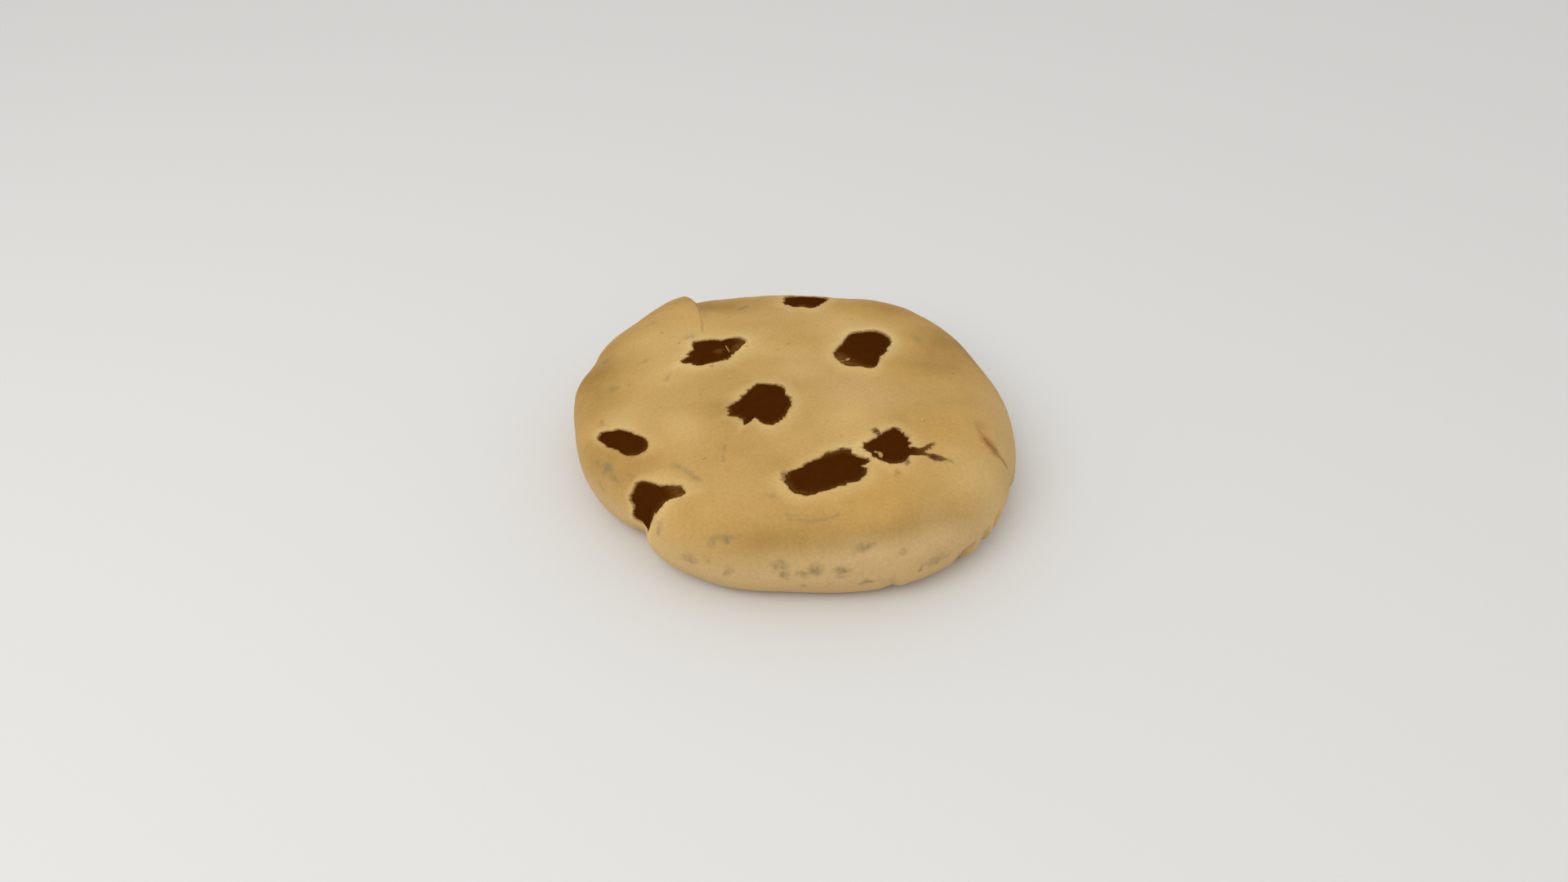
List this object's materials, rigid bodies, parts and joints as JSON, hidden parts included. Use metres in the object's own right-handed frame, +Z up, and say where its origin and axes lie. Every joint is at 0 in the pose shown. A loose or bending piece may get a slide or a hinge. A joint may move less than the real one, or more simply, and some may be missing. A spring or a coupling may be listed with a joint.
{
  "type": "chocolate chip cookie",
  "caption": "Round, thick, domed baked cookie of pale golden dough with chunks of dark chocolate set into its top, side and underside.",
  "frame": {"origin": "middle of the flat underside", "axes": "+Z up through the dome, +X to the right and -Y towards the viewer of the side with the cleft"},
  "size_m": [0.0705, 0.0693, 0.0166],
  "materials": {
    "dough": "matte baked dough",
    "chocolate": "satin dark chocolate"
  },
  "bodies": {
    "root": {"dough": "dough", "chip_far": "chocolate", "chip_upper_right": "chocolate", "chip_upper_left": "chocolate", "chip_centre": "chocolate", "chip_right": "chocolate", "chip_front": "chocolate", "chip_left": "chocolate", "chip_cleft": "chocolate", "chip_back_left": "chocolate", "chip_back_right": "chocolate", "chip_under_1": "chocolate", "chip_under_2": "chocolate", "chip_under_3": "chocolate"}
  },
  "joints": []
}
